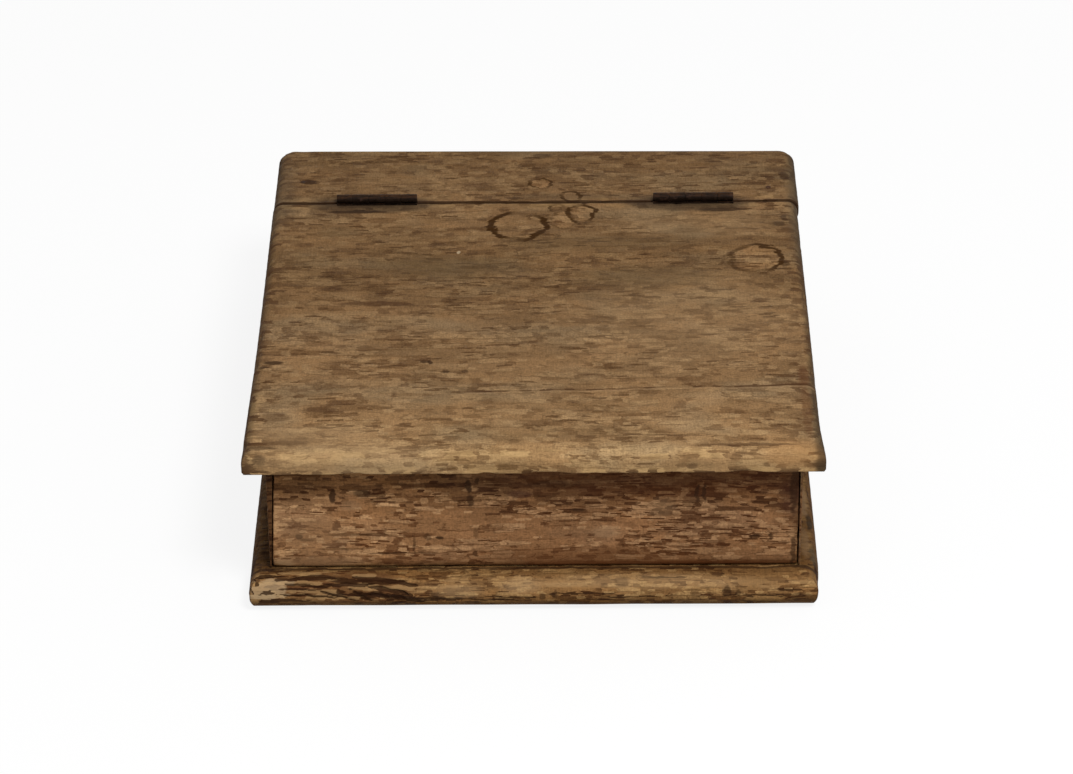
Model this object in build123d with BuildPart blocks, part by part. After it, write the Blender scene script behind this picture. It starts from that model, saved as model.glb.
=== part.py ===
from build123d import *
import os

# Desk letter box: a rebated box on a nosed base board, with a fixed rail along the back
# of its top and a lid that turns on two butt hinges in the joint between lid and rail.
# Millimetres. +X is to the right, +Y to the back, +Z up. The origin is under the middle
# of the box, on the surface that it stands on.

# ---------------------------------------------------------------- driving dimensions
body_width = 311.0  # outside faces of the side boards
body_depth = 327.0  # outside face of the front board to that of the back board
body_height = 74.0  # top of the base board to underside of lid and rail
board_thickness = 14.0  # front, back and side boards
lip_thickness = 3.0  # lip that a rebate leaves at each end of a side board
rebate_gap = 0.4  # shrinkage gap between a lip and the board that it covers
corner_round = 1.2  # worn arris at the four upright corners

base_thickness = 22.0
base_side_projection = 12.5  # base board beyond the side boards
base_end_projection = 14.5  # base board beyond the front and back boards
base_nose_radius = 10.0

top_thickness = 14.0  # lid and rail
top_overhang = 11.0  # lid and rail beyond the body, all round
top_nose_radius = 7.0  # upper arris of lid and rail
top_under_radius = 3.0  # lower arris of lid and rail
rail_depth = 69.0  # middle of the lid joint to the back edge of the rail
rail_corner_radius = 11.0  # back corners of the rail, seen from above
lid_joint_gap = 1.0  # between the lid and the rail

hinge_length = 50.8
hinge_inset = 41.0  # outer end of a hinge from the side edge of the lid
knuckle_count = 5
knuckle_radius = 3.0
knuckle_lift = 0.1  # clearance of the knuckles above lid and rail
knuckle_gap = 0.2  # between neighbouring knuckles
pin_radius = 1.5
pin_clearance = 0.05
pin_dome = 0.4  # rounding of the pin's two ends
leaf_thickness = 1.4
leaf_height = 11.5
leaf_gap = 0.3  # between the two closed leaves
leaf_clearance = 0.1  # around a leaf in its recess

leaf_screw_count = 3
leaf_screw_head_radius = 2.4
leaf_screw_head_height = 1.2
leaf_screw_radius = 1.2
leaf_screw_length = 12.0

base_screw_head_radius = 3.6
base_screw_head_height = 2.2
base_screw_radius = 1.8
base_screw_length = 34.0
base_screw_sink = 0.5  # head below the underside of the base board
side_screw_spacing = 104.0  # along each side board
end_screw_spacing = 150.0  # along the front and back boards

nail_head_radius = 1.6
nail_head_height = 0.8
nail_radius = 0.9
nail_length = 26.0
corner_nail_count = 3  # at each upright corner
corner_nail_margin = 13.0  # from the top and bottom of the boards
rail_nail_sink = 0.3  # head below the top of the rail
left_rail_nail_setback = 27.0  # from the lid joint
right_rail_nail_setback = 17.0
slot_width = 0.7  # driver slot in the screw heads
slot_depth = 0.6
hole_clearance = 0.05  # around screws and nails

# ------------------------------------------------------------------- derived sizes
body_top = base_thickness + body_height
top_surface = body_top + top_thickness
base_width = body_width + 2 * base_side_projection
base_depth = body_depth + 2 * base_end_projection
top_width = body_width + 2 * top_overhang
top_front = -body_depth / 2 - top_overhang
top_back = body_depth / 2 + top_overhang
joint_y = top_back - rail_depth
lid_back = joint_y - lid_joint_gap / 2
rail_front = joint_y + lid_joint_gap / 2

side_middle = body_width / 2 - board_thickness / 2
end_middle = body_depth / 2 - board_thickness / 2
end_board_length = body_width - 2 * (lip_thickness + rebate_gap)

hinge_x = top_width / 2 - hinge_inset - hinge_length / 2
pin_height = top_surface + knuckle_lift + knuckle_radius
knuckle_pitch = hinge_length / knuckle_count
leaf_back = leaf_gap / 2 + leaf_thickness  # from the middle of the joint
leaf_screw_pitch = hinge_length / leaf_screw_count
leaf_screw_height = top_surface - leaf_height / 2
sides = {"left": -1, "right": 1}


# ------------------------------------------------------------------------ fasteners
def turned(points):
    """A solid turned about Z from half its outline."""
    with BuildPart() as piece:
        with BuildSketch(Plane.XZ):
            with BuildLine():
                Polyline(*points, close=True)
            make_face()
        revolve(axis=Axis.Z)
    return piece.part


def nail(clearance=0.0):
    """A nail pointing down, the top of its head at the origin."""
    head = nail_head_radius + clearance
    shank = nail_radius + clearance
    tip = -nail_length - clearance
    taper = 2 * nail_radius
    return turned([
        (0, 0),
        (head, 0),
        (head, -nail_head_height),
        (shank, -nail_head_height),
        (shank, tip + taper),
        (0, tip),
    ])


def screw_blank(head_radius, head_height, radius, length, clearance=0.0):
    """A countersunk screw without its slot, pointing down, its head's face at the origin."""
    return turned([
        (0, 0),
        (head_radius + clearance, 0),
        (radius + clearance, -head_height),
        (radius + clearance, -length + radius),
        (0, -length - clearance),
    ])


def slotted(blank, head_radius):
    """The same screw with a driver slot across its head."""
    with BuildPart() as piece:
        add(blank)
        Box(3 * head_radius, slot_width, 2 * slot_depth, mode=Mode.SUBTRACT)
    return piece.part


nail_shape = nail()
nail_hole = nail(hole_clearance)
leaf_screw_sizes = (leaf_screw_head_radius, leaf_screw_head_height, leaf_screw_radius, leaf_screw_length)
leaf_screw_shape = slotted(screw_blank(*leaf_screw_sizes), leaf_screw_head_radius)
leaf_screw_hole = screw_blank(*leaf_screw_sizes, hole_clearance)
base_screw_sizes = (base_screw_head_radius, base_screw_head_height, base_screw_radius, base_screw_length)
base_screw_shape = slotted(screw_blank(*base_screw_sizes), base_screw_head_radius)
base_screw_hole = screw_blank(*base_screw_sizes, hole_clearance)


def corner_nail_places(end):
    """Nails through the side boards' lips at the front (end -1) or the back (end 1)."""
    nail_rise = (body_height - 2 * corner_nail_margin) / (corner_nail_count - 1)
    places = []
    for sign in sides.values():
        for number in range(corner_nail_count):
            height = base_thickness + corner_nail_margin + number * nail_rise
            spot = (sign * body_width / 2, end * end_middle, height)
            places.append(Location(spot, (0, sign * 90, 0)))
    return places


def base_screw_places():
    """Screws up through the base board, three into each side board, two into each end board."""
    spots = []
    for sign in sides.values():
        for step in (-1, 0, 1):
            spots.append((sign * side_middle, step * side_screw_spacing, base_screw_sink))
        for end in (-1, 1):
            spots.append((sign * end_screw_spacing / 2, end * end_middle, base_screw_sink))
    return [Location(spot, (180, 0, 0)) for spot in spots]


def rail_nail_places():
    """One nail down through each end of the rail into the side board below it."""
    height = top_surface - rail_nail_sink
    return [
        Location((-side_middle, joint_y + left_rail_nail_setback, height)),
        Location((side_middle, joint_y + right_rail_nail_setback, height)),
    ]


def leaf_screw_places(sign, facing):
    """Screws of one leaf: facing is 1 for the rail's leaf and -1 for the lid's."""
    places = []
    for number in range(leaf_screw_count):
        x = sign * hinge_x + (number - (leaf_screw_count - 1) / 2) * leaf_screw_pitch
        spot = (x, joint_y + facing * leaf_gap / 2, leaf_screw_height)
        places.append(Location(spot, (facing * 90, 0, 0)))
    return places


def cut_holes(places, hole):
    """Cuts one hole at each place in the part being built."""
    with Locations(*places):
        add(hole, mode=Mode.SUBTRACT)


def save(builder, name):
    """Names a finished piece and writes its file."""
    builder.part.label = name
    export_step(builder.part, f"parts/{name}.step")


os.makedirs("parts", exist_ok=True)

# ----------------------------------------------------------------------- base board
with BuildPart() as base_board:
    with BuildSketch(Plane.YZ):
        with Locations((0, base_thickness / 2)):
            RectangleRounded(base_depth, base_thickness, base_nose_radius)
    extrude(amount=base_width / 2, both=True)
    with BuildSketch(Plane.XZ):
        with Locations((0, base_thickness / 2)):
            RectangleRounded(base_width, base_thickness, base_nose_radius)
    extrude(amount=base_depth / 2, both=True, mode=Mode.INTERSECT)
    cut_holes(base_screw_places(), base_screw_hole)
    # The screw heads' wells run on down to the underside.
    with Locations(*[Location((place.position.X, place.position.Y, 0)) for place in base_screw_places()]):
        Cylinder(
            base_screw_head_radius + hole_clearance,
            base_screw_sink,
            align=(Align.CENTER, Align.CENTER, Align.MIN),
            mode=Mode.SUBTRACT,
        )
save(base_board, "base_board")


# ---------------------------------------------------------------------- side boards
def make_side_board(name, sign):
    """A side board: full depth of the box, rebated at both ends for the end boards."""
    rebate_width = board_thickness - lip_thickness
    with BuildPart() as board:
        with BuildSketch(Plane.XY.offset(base_thickness)):
            with Locations((sign * side_middle, 0)):
                Rectangle(board_thickness, body_depth)
            with Locations(*[(sign * (side_middle - lip_thickness / 2), end * end_middle) for end in (-1, 1)]):
                Rectangle(rebate_width, board_thickness, mode=Mode.SUBTRACT)
        extrude(amount=body_height)
        uprights = board.edges().filter_by(Axis.Z)
        outer = uprights.filter_by(lambda edge: abs(edge.center().X) > body_width / 2 - lip_thickness / 2)
        fillet(outer, corner_round)
        cut_holes(corner_nail_places(-1) + corner_nail_places(1), nail_hole)
        cut_holes(base_screw_places(), base_screw_hole)
        cut_holes(rail_nail_places(), nail_hole)
    save(board, name)


make_side_board("left_side", sides["left"])
make_side_board("right_side", sides["right"])


# ------------------------------------------------------------ front and back boards
def make_end_board(name, end):
    """The front (end -1) or back (end 1) board, between the lips of the side boards."""
    with BuildPart() as board:
        with BuildSketch(Plane.XY.offset(base_thickness)):
            with Locations((0, end * end_middle)):
                Rectangle(end_board_length, board_thickness)
        extrude(amount=body_height)
        cut_holes(corner_nail_places(end), nail_hole)
        cut_holes(base_screw_places(), base_screw_hole)
    save(board, name)


make_end_board("front_board", -1)
make_end_board("back_board", 1)


# ------------------------------------------------------------------ rail along the back
def cut_leaf_recesses(facing):
    """Recesses for the two hinge leaves in the edge of the rail (1) or of the lid (-1)."""
    recess_depth = leaf_back - lid_joint_gap / 2
    recess_height = leaf_height + leaf_clearance
    middle_y = joint_y + facing * (lid_joint_gap / 2 + recess_depth / 2)
    middle_z = top_surface - recess_height / 2
    with Locations(*[(sign * hinge_x, middle_y, middle_z) for sign in sides.values()]):
        Box(hinge_length + 2 * leaf_clearance, recess_depth, recess_height, mode=Mode.SUBTRACT)


with BuildPart() as top_rail:
    with BuildSketch(Plane.XY.offset(body_top)) as rail_plan:
        with Locations((0, (rail_front + top_back) / 2)):
            Rectangle(top_width, top_back - rail_front)
        fillet(rail_plan.vertices().group_by(Axis.Y)[-1], rail_corner_radius)
    extrude(amount=top_thickness)
    upper_arris = top_rail.faces().sort_by(Axis.Z)[-1].edges()
    lower_arris = top_rail.faces().sort_by(Axis.Z)[0].edges()
    fillet(upper_arris.sort_by(Axis.Y)[1:], top_nose_radius)
    fillet(lower_arris.sort_by(Axis.Y)[1:], top_under_radius)
    cut_leaf_recesses(1)
    cut_holes(rail_nail_places(), nail_hole)
    # The nail heads' wells run on up to the top of the rail.
    with Locations(*rail_nail_places()):
        Cylinder(
            nail_head_radius + hole_clearance,
            rail_nail_sink,
            align=(Align.CENTER, Align.CENTER, Align.MIN),
            mode=Mode.SUBTRACT,
        )
    for rail_sign in sides.values():
        cut_holes(leaf_screw_places(rail_sign, 1), leaf_screw_hole)
save(top_rail, "top_rail")

# ------------------------------------------------------------------------------ lid
with BuildPart() as lid:
    with BuildSketch(Plane.YZ) as lid_section:
        with Locations(((top_front + lid_back) / 2, (body_top + top_surface) / 2)):
            Rectangle(lid_back - top_front, top_thickness)
        # In this sketch X runs from the front to the back and Y runs up.
        fillet(lid_section.vertices().group_by(Axis.X)[0].sort_by(Axis.Y)[-1], top_nose_radius)
        fillet(lid_section.vertices().group_by(Axis.X)[0].sort_by(Axis.Y)[0], top_under_radius)
    extrude(amount=top_width / 2, both=True)
    with BuildSketch(Plane.XZ) as lid_front_view:
        with Locations((0, (body_top + top_surface) / 2)):
            Rectangle(top_width, top_thickness)
        fillet(lid_front_view.vertices().group_by(Axis.Y)[-1], top_nose_radius)
        fillet(lid_front_view.vertices().group_by(Axis.Y)[0], top_under_radius)
    extrude(amount=top_back, both=True, mode=Mode.INTERSECT)
    cut_leaf_recesses(-1)
    for lid_sign in sides.values():
        cut_holes(leaf_screw_places(lid_sign, -1), leaf_screw_hole)
save(lid, "lid")


# --------------------------------------------------------------------------- hinges
def make_leaf(name, sign, facing, knuckles):
    """A leaf in its board's edge, with the numbered knuckles rolled about the pin."""
    hinge_end = sign * hinge_x - hinge_length / 2
    leaf_middle = joint_y + facing * (leaf_gap + leaf_thickness) / 2
    with BuildPart() as leaf:
        with Locations((sign * hinge_x, leaf_middle, leaf_screw_height)):
            Box(hinge_length, leaf_thickness, leaf_height)
        for knuckle in knuckles:
            start = hinge_end + knuckle * knuckle_pitch + knuckle_gap / 2
            with BuildSketch(Plane.YZ.offset(start)):
                with Locations((joint_y, pin_height)):
                    Circle(knuckle_radius)
                with Locations((leaf_middle, (top_surface + pin_height) / 2)):
                    Rectangle(leaf_thickness, pin_height - top_surface)
            extrude(amount=knuckle_pitch - knuckle_gap)
        with BuildSketch(Plane.YZ.offset(hinge_end)):
            with Locations((joint_y, pin_height)):
                Circle(pin_radius + pin_clearance)
        extrude(amount=hinge_length, mode=Mode.SUBTRACT)
        cut_holes(leaf_screw_places(sign, facing), leaf_screw_hole)
    save(leaf, name)


def make_pin(name, sign):
    """The hinge pin, as long as the row of knuckles."""
    with BuildPart() as pin:
        with BuildSketch(Plane.YZ.offset(sign * hinge_x)):
            with Locations((joint_y, pin_height)):
                Circle(pin_radius)
        extrude(amount=hinge_length / 2, both=True)
        fillet(pin.edges().filter_by(GeomType.CIRCLE), pin_dome)
    save(pin, name)


def make_group(name, places, shape):
    """A row of identical fasteners, one solid at each place."""
    with BuildPart() as group:
        with Locations(*places):
            add(shape)
    save(group, name)


rail_knuckles = range(0, knuckle_count, 2)
lid_knuckles = range(1, knuckle_count, 2)
for side, side_sign in sides.items():
    make_leaf(f"{side}_rail_leaf", side_sign, 1, rail_knuckles)
    make_leaf(f"{side}_lid_leaf", side_sign, -1, lid_knuckles)
    make_pin(f"{side}_hinge_pin", side_sign)
    make_group(f"{side}_rail_leaf_screws", leaf_screw_places(side_sign, 1), leaf_screw_shape)
    make_group(f"{side}_lid_leaf_screws", leaf_screw_places(side_sign, -1), leaf_screw_shape)

# -------------------------------------------------------------------- box fasteners
make_group("rail_nails", rail_nail_places(), nail_shape)
make_group("front_nails", corner_nail_places(-1), nail_shape)
make_group("back_nails", corner_nail_places(1), nail_shape)
make_group("base_screws", base_screw_places(), base_screw_shape)
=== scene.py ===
import itertools
import math
from functools import partialmethod

import bpy
import numpy as np
from mathutils import Matrix, Vector


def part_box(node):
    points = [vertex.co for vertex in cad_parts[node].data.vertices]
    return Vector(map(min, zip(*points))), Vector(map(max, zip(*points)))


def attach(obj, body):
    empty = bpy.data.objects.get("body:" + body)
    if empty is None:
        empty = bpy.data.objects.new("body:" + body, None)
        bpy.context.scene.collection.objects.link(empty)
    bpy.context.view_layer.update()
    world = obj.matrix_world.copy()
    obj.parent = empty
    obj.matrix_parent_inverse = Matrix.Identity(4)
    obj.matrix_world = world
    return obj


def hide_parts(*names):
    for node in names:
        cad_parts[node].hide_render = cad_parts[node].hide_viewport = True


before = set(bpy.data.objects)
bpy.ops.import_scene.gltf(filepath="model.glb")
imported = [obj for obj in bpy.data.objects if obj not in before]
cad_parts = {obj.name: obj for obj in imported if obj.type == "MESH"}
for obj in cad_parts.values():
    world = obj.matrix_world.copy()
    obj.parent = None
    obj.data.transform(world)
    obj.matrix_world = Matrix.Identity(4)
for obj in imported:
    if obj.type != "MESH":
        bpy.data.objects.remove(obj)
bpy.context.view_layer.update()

# Looks for the desk letter box: worn oak boards, sculpted as meshes and given procedural
# grain, and rusty iron hinges. Lengths here are in millimetres, in the row frame, and
# become metres only where a mesh, a lamp or the camera is made.
MM = 0.001
SIDES = {"left": -1, "right": 1}


# --- places taken from the frame
def corners(node):
    """Lowest and highest corner of a CAD node, in millimetres."""
    low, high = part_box(node)
    return np.array(low) / MM, np.array(high) / MM


lid_low, lid_high = corners("lid")
rail_low, rail_high = corners("top_rail")
base_low, base_high = corners("base_board")
end_low, end_high = corners("front_board")
pin_low, pin_high = corners("right_hinge_pin")
hinge_x, _, pin_z = (pin_low + pin_high) / 2
hinge_half, _, pin_radius = (pin_high - pin_low) / 2
joint_y = (lid_high[1] + rail_low[1]) / 2


# --- repeatable noise
def lattice(cells, seed):
    """A repeatable value from 0 to 1 for each cell."""
    mixed = np.full(len(cells), seed, np.uint32)
    for axis, prime in enumerate((374761393, 668265263, 2246822519)):
        mixed = (mixed ^ (cells[:, axis] & 0xFFFFFFFF).astype(np.uint32)) * np.uint32(prime)
        mixed ^= mixed >> np.uint32(15)
    mixed *= np.uint32(3266489917)
    mixed ^= mixed >> np.uint32(13)
    return mixed / float(0xFFFFFFFF)


def noise(points, size, seed):
    """Smooth noise from -1 to 1, with features of that size."""
    place = points / np.array(size, float)
    cell = np.floor(place).astype(np.int64)
    part = place - cell
    part = part * part * (3 - 2 * part)
    total = np.zeros(len(points))
    for corner in itertools.product((0, 1), repeat=3):
        weight = np.prod(np.where(corner, part, 1 - part), axis=1)
        total += weight * lattice(cell + np.array(corner), seed)
    return 2 * total - 1


def ramp(value, low, high):
    """0 below low, 1 above high, smooth between them."""
    part = np.clip((value - low) / (high - low), 0, 1)
    return part * part * (3 - 2 * part)


# --- mesh lines and the surface round solid cells
def lines(low, high, step, rim, rim_step):
    """Mesh lines from low to high, closer within rim of both ends."""
    edge = np.arange(0, rim, rim_step)
    count = max(2, round((high - low - 2 * rim) / step) + 1)
    inner = np.linspace(low + rim, high - rim, count)
    return np.concatenate([low + edge, inner, high - edge[::-1]])


def box_lines(low, high, *spacings):
    """Mesh lines along X, Y and Z of a box. A spacing is a step, a rim and the rim's step."""
    return [lines(*span) for span in ((*ends, *each) for *ends, each in zip(low, high, spacings))]


def with_lines(old, extra, clear):
    """The lines with extra ones in place of those within clear of them."""
    extra = np.array(sorted(extra))
    far = np.abs(old[:, None] - extra[None, :]).min(axis=1) > clear
    ends = (old == old[0]) | (old == old[-1])
    return np.unique(np.concatenate([old[far | ends], extra]))


def over_heads(grid, heads, axes, reach, step):
    """Adds close lines to the grid over each round head."""
    for head, axis in itertools.product(heads, axes):
        close = head[axis] + np.arange(-reach, reach + step / 2, step)
        grid[axis] = with_lines(grid[axis], close, step / 2)


def shell(grid, solid):
    """Points and quads of the surface round the grid's solid cells."""
    middles = [(axis[1:] + axis[:-1]) / 2 for axis in grid]
    cells = np.pad(solid(*np.meshgrid(*middles, indexing="ij")), 1)
    shape = [len(axis) for axis in grid]
    quads = []
    for axis in range(3):
        core = [slice(1, -1)] * 3
        core[axis] = slice(None, -1)
        before = cells[tuple(core)]
        core[axis] = slice(1, None)
        after = cells[tuple(core)]
        place = np.argwhere(before != after)
        steps = np.eye(3, dtype=int)
        first, second = steps[(axis + 1) % 3], steps[(axis + 2) % 3]
        loop = [place, place + first, place + first + second, place + second]
        quad = np.stack([np.ravel_multi_index(spot.T, shape) for spot in loop], axis=1)
        inward = after[tuple(place.T)]
        quad[inward] = quad[inward][:, ::-1]
        quads.append(quad)
    used, quads = np.unique(np.concatenate(quads), return_inverse=True)
    where = np.unravel_index(used, shape)
    points = np.stack([axis[index] for axis, index in zip(grid, where)], axis=1)
    return points, quads.reshape(-1, 4)


def everywhere(x, y, z):
    """No cell is cut away."""
    return np.ones(x.shape, bool)


# --- rounding
def rounded_meet(first, second, radius):
    """The distance outside two faces with a rounded edge."""
    over = np.hypot(np.maximum(first + radius, 0), np.maximum(second + radius, 0))
    return np.minimum(np.maximum(first, second), -radius) + over


def slab(points, low, high, upper, lower, corner):
    """The distance outside a board with rounded edges and corners."""
    middle = (low + high) / 2
    half = (high - low) / 2
    across = np.abs(points[:, :2] - middle[:2]) - half[:2]
    plan = rounded_meet(across[:, 0], across[:, 1], corner)
    rise = np.abs(points[:, 2] - middle[2]) - half[2]
    radius = np.where(points[:, 2] > middle[2], upper, lower)
    return rounded_meet(plan, rise, radius)


def slab_field(low, high, upper, lower, corner):
    """The field of such a board."""
    return lambda points: slab(points, low, high, upper, lower, corner)


def slope(points, field):
    """The field's value and its slope at each point."""
    reach = 0.01
    value = field(points)
    rise = [(field(points + reach * axis) - value) / reach for axis in np.eye(3)]
    return value, np.stack(rise, axis=1)


def settle(points, field, rounds=5):
    """Moves points to where the field is zero."""
    for _ in range(rounds):
        value, rise = slope(points, field)
        steep = np.maximum((rise ** 2).sum(axis=1), 0.25)
        points = points - rise * (value / steep)[:, None]
    return points


def sculpt(points, box, field, wear):
    """Rounds a box's outer faces to the field, then wears them down."""
    outer = np.any([(np.abs(points - corner) < 1e-6).any(axis=1) for corner in box], axis=0)
    points = points.copy()
    points[outer] = settle(points[outer], field)
    rise = slope(points, field)[1]
    normal = rise / np.maximum(np.linalg.norm(rise, axis=1), 1e-6)[:, None]
    depth = np.where(outer, wear(points), 0.0)
    return points - normal * depth[:, None]


# --- wear
SWELL = 0.3  # depth of a board's slow waves


def edge_nearness(points, box, reach):
    """1 on the edges of a box, falling to 0 at reach from them."""
    low, high = box
    gaps = np.sort(np.minimum(np.abs(points - low), np.abs(points - high)), axis=1)
    return 1 - ramp(gaps[:, 1], 0, reach)


def dents(points, places):
    """Depth of small hollows, given by centre, radii and depth."""
    depth = np.zeros(len(points))
    for centre, radii, deep in places:
        away = (((points - np.array(centre)) / np.array(radii)) ** 2).sum(axis=1)
        depth += deep * np.exp(-away * 1.5)
    return depth


def wells(points, centres, axis, radius, deep):
    """Depth of flat round wells for heads on faces across one axis."""
    flat = [index for index in range(3) if index != axis]
    depth = np.zeros(len(points))
    for centre in centres:
        away = np.hypot(*(points[:, flat] - np.array(centre)[flat]).T)
        near = np.abs(points[:, axis] - centre[axis]) < 2.0
        depth = np.maximum(depth, deep * near * (1 - ramp(away, radius, radius + 0.35)))
    return depth


def waves(points, size, seed, deep):
    """Depth of a gentle unevenness."""
    return deep * (1 + noise(points, size, seed)) / 2


def weathering(points, box, seed, swell, grain, chip, raised, broken):
    """Depth of slow waves, raised grain and chipped edges. swell, grain and chip are
    sizes, raised and broken depths."""
    near = edge_nearness(points, box, 6.0)
    chips = broken * near * ramp(noise(points, chip, seed + 2), 0.42, 0.8)
    return waves(points, swell, seed, SWELL) + waves(points, grain, seed + 1, raised) + chips


# --- pieces
LEAF_CLEARANCE = 0.1  # round a hinge leaf in its recess
NAIL_WELL = 1.75  # radius of the well round a nail's head
NAIL_LINES = 2.4, 0.4  # reach and step of the mesh lines over a nail's head
SCREW_WELL, SCREW_WELL_DEPTH = 4.0, 0.9  # of the well round the head of a base screw
SCREW_LINES = 4.8, 0.8  # reach and step of the mesh lines over it


def add(name, data):
    """A new object in the scene."""
    thing = bpy.data.objects.new(name, data)
    bpy.context.scene.collection.objects.link(thing)
    return thing


def make_mesh(name, points, quads, **marks):
    """A smooth mesh object with one float attribute for each mark."""
    mesh = bpy.data.meshes.new(name)
    mesh.from_pydata((points * MM).tolist(), [], quads.tolist())
    for mark, values in marks.items():
        attribute = mesh.attributes.new(mark, "FLOAT", "POINT")
        attribute.data.foreach_set("value", values.astype(np.float32))
    mesh.shade_smooth()
    mesh.set_sharp_from_angle(angle=math.radians(50))
    mesh.validate()
    return add(name, mesh)


def dress(piece, body, node):
    """Lets a piece stand for a CAD node, on its body."""
    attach(piece, body)
    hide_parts(node)
    return piece


def board(names, grid, field, wear, rim, solid=everywhere, weigh=None, crack=None):
    """A board. names are its own, its body's, its node's and its slot's, the slot's not used; rim
    the reach of its worn edges, weigh its share in the front joints' lean, crack its splits' depth."""
    name, body, node, slot = names
    box = corners(node)
    points, quads = shell(grid, solid)
    split = crack(settle(points, field)) if crack else np.zeros(len(points))
    points = sculpt(points, box, field, wear)
    if weigh:
        points = lean(points, weigh(points))
    marks = {"edge": edge_nearness(points, box, rim), "split": split}
    return dress(make_mesh(name, points, quads, **marks), body, node)


def node_points(node):
    """The vertices of a CAD node, in millimetres."""
    return np.array([vertex.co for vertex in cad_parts[node].data.vertices]) / MM


def head_centres(node, axis):
    """Centres of the outer faces of a node's nails or screws along an axis."""
    points = node_points(node)
    reach = np.abs(points[:, axis])
    outer = points[reach > reach.max() - 0.05]
    centres = []
    while len(outer):
        near = np.linalg.norm(outer - outer[0], axis=1) < 6.0
        centres.append((outer[near].min(axis=0) + outer[near].max(axis=0)) / 2)
        outer = outer[~near]
    return centres


rail_heads = head_centres("rail_nails", 2)
screw_heads = [np.array([x, y, base_low[2]]) for x, y, _ in head_centres("base_screws", 2)]


# --- lid and rail
NOSE = 7.0  # rounding of their upper edges
LID_UNDER, LID_CORNER = 1.4, 1.6
RAIL_UNDER, RAIL_CORNER = 3.0, 11.0
JOINT_EASE = 0.9  # rounding where they meet
BEYOND = np.array([0, 40.0, 0])  # carries a field past the joint, where nothing is nosed
LID_DENTS = (
    ((-55, -174, 98.5), (3.2, 3, 1.8), 1.2), ((-137, -174.5, 97.5), (4, 3, 1.6), 1.3),
    ((-128, -174.5, 98), (2.2, 3, 1.4), 0.9), ((90.5, -172, 101.5), (2.6, 3, 2), 1.0),
    ((132, -172.5, 100.5), (2.4, 3, 1.8), 1.0), ((-166, -160, 106), (3.5, 5, 3), 0.9),
    ((-166, -78, 107), (6, 4, 3), 0.9), ((166, -95, 106), (3, 5, 3), 0.9),
    ((166, 60, 106), (3, 4, 3), 0.8),
)
RAIL_DENTS = (
    ((-150, 174, 107), (5, 3, 3), 0.7), ((60, 174.5, 108), (7, 3, 3), 0.5),
    ((166, 140, 107), (3, 5, 3), 0.8),
)


def lid_field(points):
    """The lid's outside, nosed, and flared at the front corners."""
    x, y, _ = points.T
    left = 1.4 * ramp(-y, 40.0, 176.0)
    right = 1.8 * ramp(-y, 135.0, 176.0) - 0.4
    flared = points.copy()
    flared[:, 0] *= 1 - np.where(x < 0, left, right) / lid_high[0]
    outside = slab(flared, lid_low, lid_high + BEYOND, NOSE, LID_UNDER, LID_CORNER)
    return rounded_meet(outside, y - lid_high[1], JOINT_EASE)


def lid_wear(points):
    """How deep the lid is worn."""
    sizes = (140, 90, 60), (40, 2.6, 2.6), (9, 6, 4)
    worn = weathering(points, (lid_low, lid_high), 11, *sizes, 0.14, 0.9)
    return worn + dents(points, LID_DENTS)


def rail_field(points):
    """The rail's outside, nosed, a little deeper at its left end."""
    x, y, _ = points.T
    skewed = points.copy()
    skewed[:, 0] *= 1 - np.where(x < 0, -0.3, 1.0) / rail_high[0]
    skewed[:, 1] += 1.5 * x / rail_high[0] * (y - joint_y) / (rail_high[1] - joint_y)
    outside = slab(skewed, rail_low - BEYOND, rail_high, NOSE, RAIL_UNDER, RAIL_CORNER)
    return rounded_meet(outside, rail_low[1] - y, JOINT_EASE)


def rail_wear(points):
    """How deep the rail is worn, with wells for the nail heads."""
    sizes = (120, 60, 60), (40, 2.6, 2.6), (9, 6, 4)
    worn = weathering(points, (rail_low, rail_high), 21, *sizes, 0.14, 0.8)
    return worn + dents(points, RAIL_DENTS) + wells(points, rail_heads, 2, NAIL_WELL, 0.25)


def make_top(kind, body, node, facing, field, wear, rim, rim_step, heads=()):
    """Lid or rail, with recesses for its hinge leaves at its back (facing 1) or front (-1)."""
    low, high = corners(node)
    leaf_low, leaf_high = corners(f"right_{kind}_leaf")
    recess_y = (leaf_low if facing > 0 else leaf_high)[1] - facing * LEAF_CLEARANCE
    recess_z = leaf_low[2] - LEAF_CLEARANCE
    reach = hinge_half + LEAF_CLEARANCE
    ends = [sign * hinge_x + end * reach for sign in (-1, 1) for end in (-1, 1)]
    grid = box_lines(low, high, (3.6, rim, rim_step), (1.3, rim, rim_step), (0.8, 3.0, 0.6))
    for axis, extra, clear in ((0, ends, 0.8), (1, [recess_y], 0.3), (2, [recess_z], 0.3)):
        grid[axis] = with_lines(grid[axis], extra, clear)
    over_heads(grid, heads, (0, 1), *NAIL_LINES)

    def solid(x, y, z):
        beside = np.abs(np.abs(x) - hinge_x) < reach
        return ~(beside & (z > recess_z) & ((y - recess_y) * facing > 0))

    return board((f"{kind}_plank", body, node, f"{kind}_oak"), grid, field, wear, 9.0, solid)


# --- base board
BASE_NOSE, BASE_CORNER = 10.0, 2.6
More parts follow.
